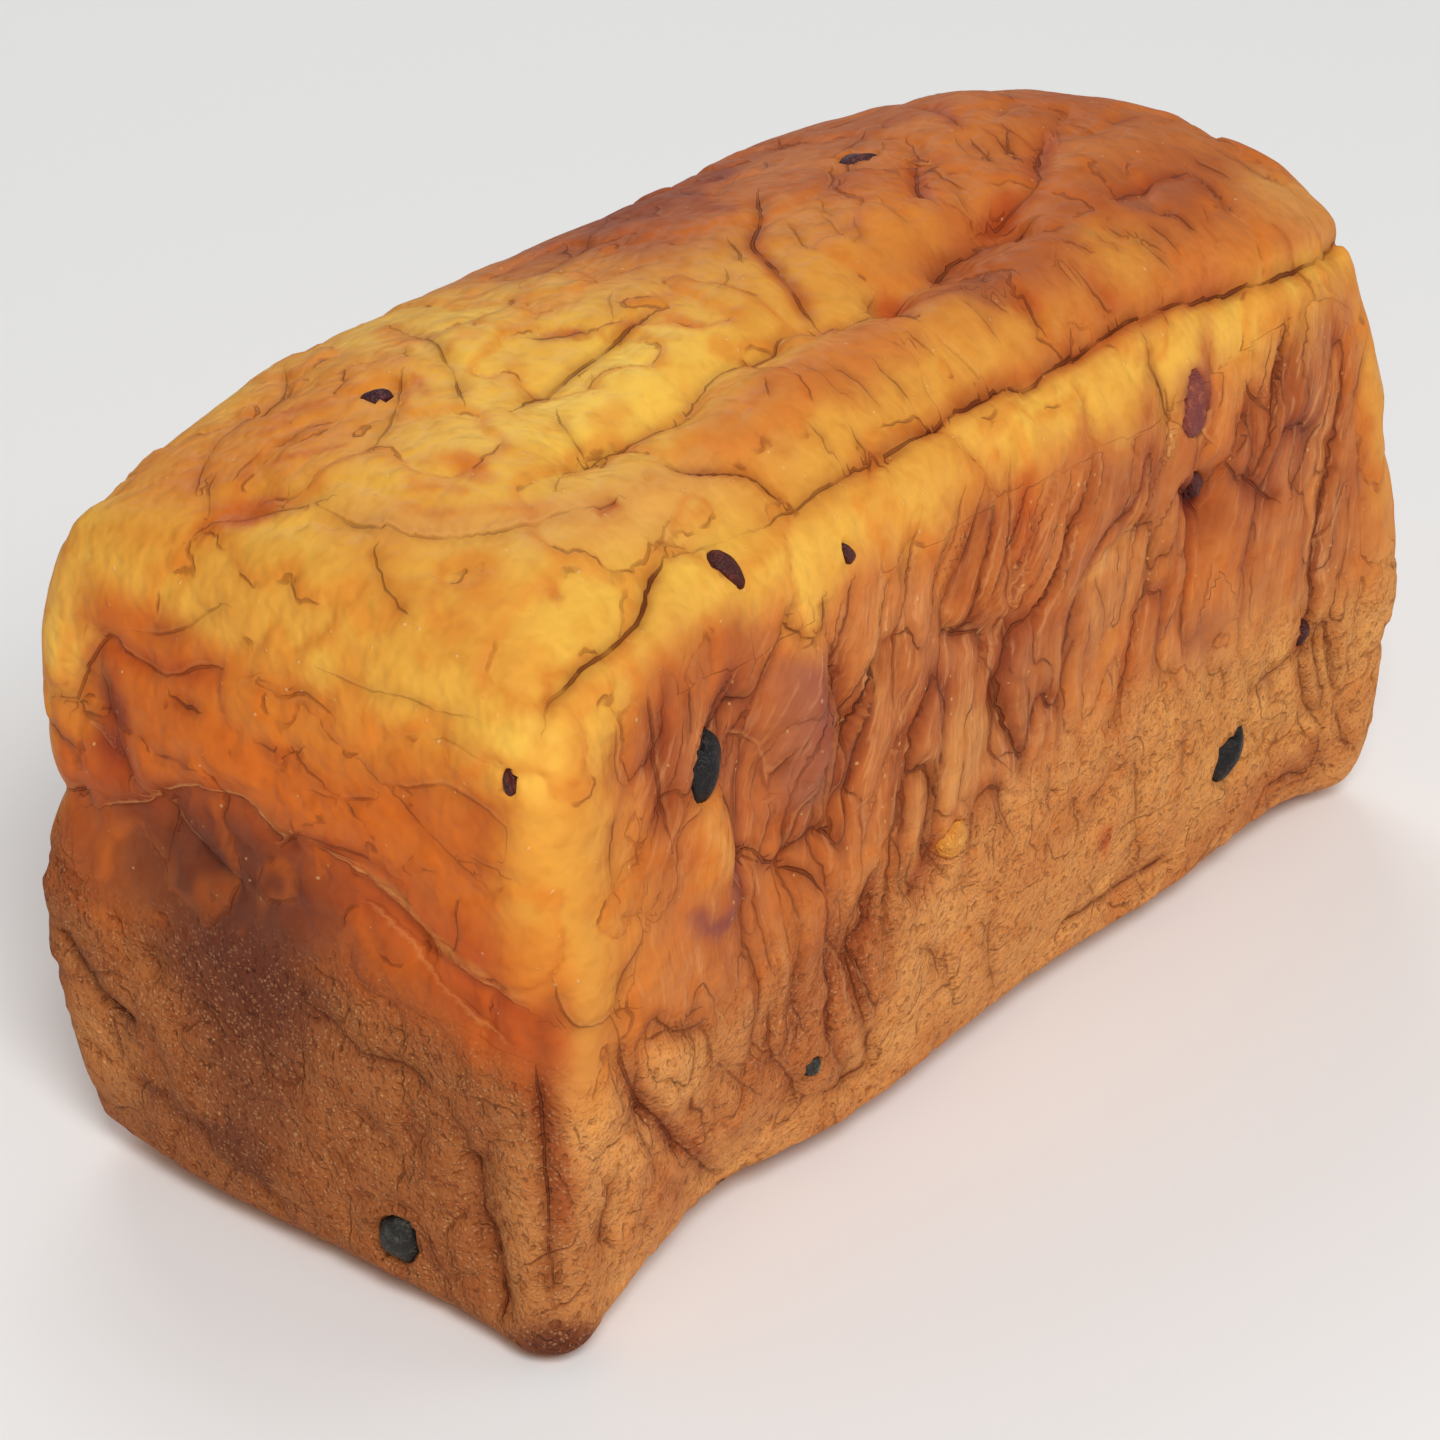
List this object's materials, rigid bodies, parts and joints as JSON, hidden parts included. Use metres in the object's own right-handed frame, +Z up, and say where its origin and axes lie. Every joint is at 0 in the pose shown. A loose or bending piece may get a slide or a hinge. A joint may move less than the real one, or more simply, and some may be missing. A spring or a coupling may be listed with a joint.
{
  "type": "sweet bread loaf",
  "caption": "Whole tin-baked sweet loaf with a domed, split top, pleated golden-brown crust and raisins showing in it.",
  "frame": {"origin": "middle of the flat base, in the plane the loaf rests on", "axes": "+X along the loaf away from the browned end, +Y towards the back long side, +Z up"},
  "size_m": [0.217, 0.1036, 0.121],
  "materials": {
    "crust": "baked crust, satin on the top, dull and porous low on the walls",
    "raisin": "moist wrinkled skin"
  },
  "bodies": {
    "root": {"loaf": "crust", "raisin_in_pocket": "raisin", "raisin_near_low": "raisin", "raisin_at_browned_foot": "raisin", "raisin_on_shoulder": "raisin", "raisin_on_crown": "raisin", "raisin_under_skin": "raisin", "raisin_back_high": "raisin", "raisin_back_low": "raisin", "raisin_on_far_end": "raisin"}
  },
  "joints": []
}
